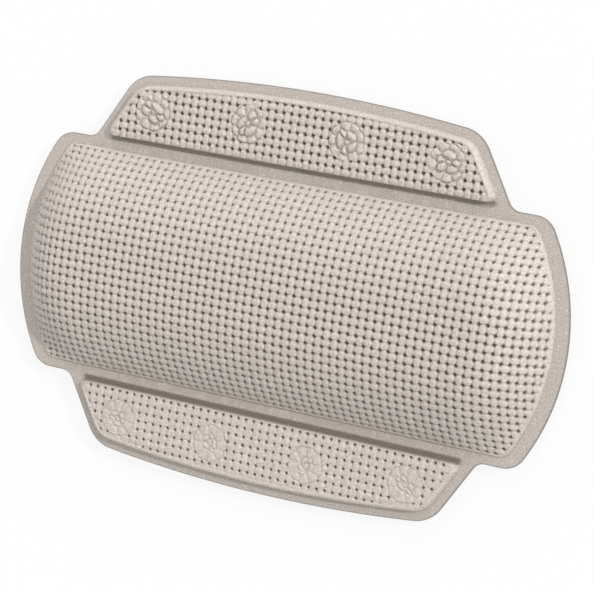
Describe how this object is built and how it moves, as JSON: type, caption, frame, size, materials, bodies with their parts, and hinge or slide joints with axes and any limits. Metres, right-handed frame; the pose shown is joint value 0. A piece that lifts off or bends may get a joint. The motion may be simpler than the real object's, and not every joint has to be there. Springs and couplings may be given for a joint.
{
  "type": "bath pillow",
  "caption": "Wide domed foam bath pillow in embossed vinyl, with a padded folding flap along each long side and suction cups behind the flaps that hold it to a tub.",
  "frame": {"origin": "middle of the part on the surface that the suction cups' rims rest on", "axes": "+X along the pillow's length, +Y across it towards the upper flap, +Z out of the dome, away from the tub"},
  "size_m": [0.43, 0.285, 0.0448],
  "materials": {
    "front_vinyl": "satin embossed vinyl",
    "back_vinyl": "fine-grained matt vinyl",
    "foam": "open-cell foam",
    "cup_vinyl": "clear soft vinyl"
  },
  "bodies": {
    "pillow": {"pillow_front_skin": "front_vinyl", "pillow_foam_core": "foam", "pillow_back_sheet": "back_vinyl", "upper_hinge_web": "front_vinyl", "lower_hinge_web": "front_vinyl"},
    "upper_flap": {"upper_flap_front_skin": "front_vinyl", "upper_flap_foam_pad": "foam", "upper_flap_back_sheet": "back_vinyl", "upper_cup_patch_1": "back_vinyl", "upper_cup_patch_2": "back_vinyl", "upper_cup_patch_3": "back_vinyl", "upper_cup_patch_4": "back_vinyl"},
    "lower_flap": {"lower_flap_front_skin": "front_vinyl", "lower_flap_foam_pad": "foam", "lower_flap_back_sheet": "back_vinyl", "lower_cup_patch_1": "back_vinyl", "lower_cup_patch_2": "back_vinyl", "lower_cup_patch_3": "back_vinyl", "lower_cup_patch_4": "back_vinyl"},
    "upper_cup_1": {"upper_suction_cup_1": "cup_vinyl"},
    "upper_cup_2": {"upper_suction_cup_2": "cup_vinyl"},
    "upper_cup_3": {"upper_suction_cup_3": "cup_vinyl"},
    "upper_cup_4": {"upper_suction_cup_4": "cup_vinyl"},
    "lower_cup_1": {"lower_suction_cup_1": "cup_vinyl"},
    "lower_cup_2": {"lower_suction_cup_2": "cup_vinyl"},
    "lower_cup_3": {"lower_suction_cup_3": "cup_vinyl"},
    "lower_cup_4": {"lower_suction_cup_4": "cup_vinyl"}
  },
  "joints": [
    {"name": "upper_flap_fold", "type": "hinge", "parent": "pillow", "child": "upper_flap", "pos_m": [0, 0.0843, 0.01055], "axis": [1, 0, 0], "range_deg": [-90, 90], "stiffness_Nm_per_rad": 1, "deforming": ["upper_hinge_web"]},
    {"name": "lower_flap_fold", "type": "hinge", "parent": "pillow", "child": "lower_flap", "pos_m": [0, -0.0843, 0.01055], "axis": [-1, 0, 0], "range_deg": [-90, 90], "stiffness_Nm_per_rad": 1, "deforming": ["lower_hinge_web"]},
    {"name": "upper_cup_1_draw", "type": "slide", "parent": "upper_flap", "child": "upper_cup_1", "axis": [0, 0, 1], "range_m": [-0.0025, 0]},
    {"name": "upper_cup_2_draw", "type": "slide", "parent": "upper_flap", "child": "upper_cup_2", "axis": [0, 0, 1], "range_m": [-0.0025, 0]},
    {"name": "upper_cup_3_draw", "type": "slide", "parent": "upper_flap", "child": "upper_cup_3", "axis": [0, 0, 1], "range_m": [-0.0025, 0]},
    {"name": "upper_cup_4_draw", "type": "slide", "parent": "upper_flap", "child": "upper_cup_4", "axis": [0, 0, 1], "range_m": [-0.0025, 0]},
    {"name": "lower_cup_1_draw", "type": "slide", "parent": "lower_flap", "child": "lower_cup_1", "axis": [0, 0, 1], "range_m": [-0.0025, 0]},
    {"name": "lower_cup_2_draw", "type": "slide", "parent": "lower_flap", "child": "lower_cup_2", "axis": [0, 0, 1], "range_m": [-0.0025, 0]},
    {"name": "lower_cup_3_draw", "type": "slide", "parent": "lower_flap", "child": "lower_cup_3", "axis": [0, 0, 1], "range_m": [-0.0025, 0]},
    {"name": "lower_cup_4_draw", "type": "slide", "parent": "lower_flap", "child": "lower_cup_4", "axis": [0, 0, 1], "range_m": [-0.0025, 0]}
  ]
}
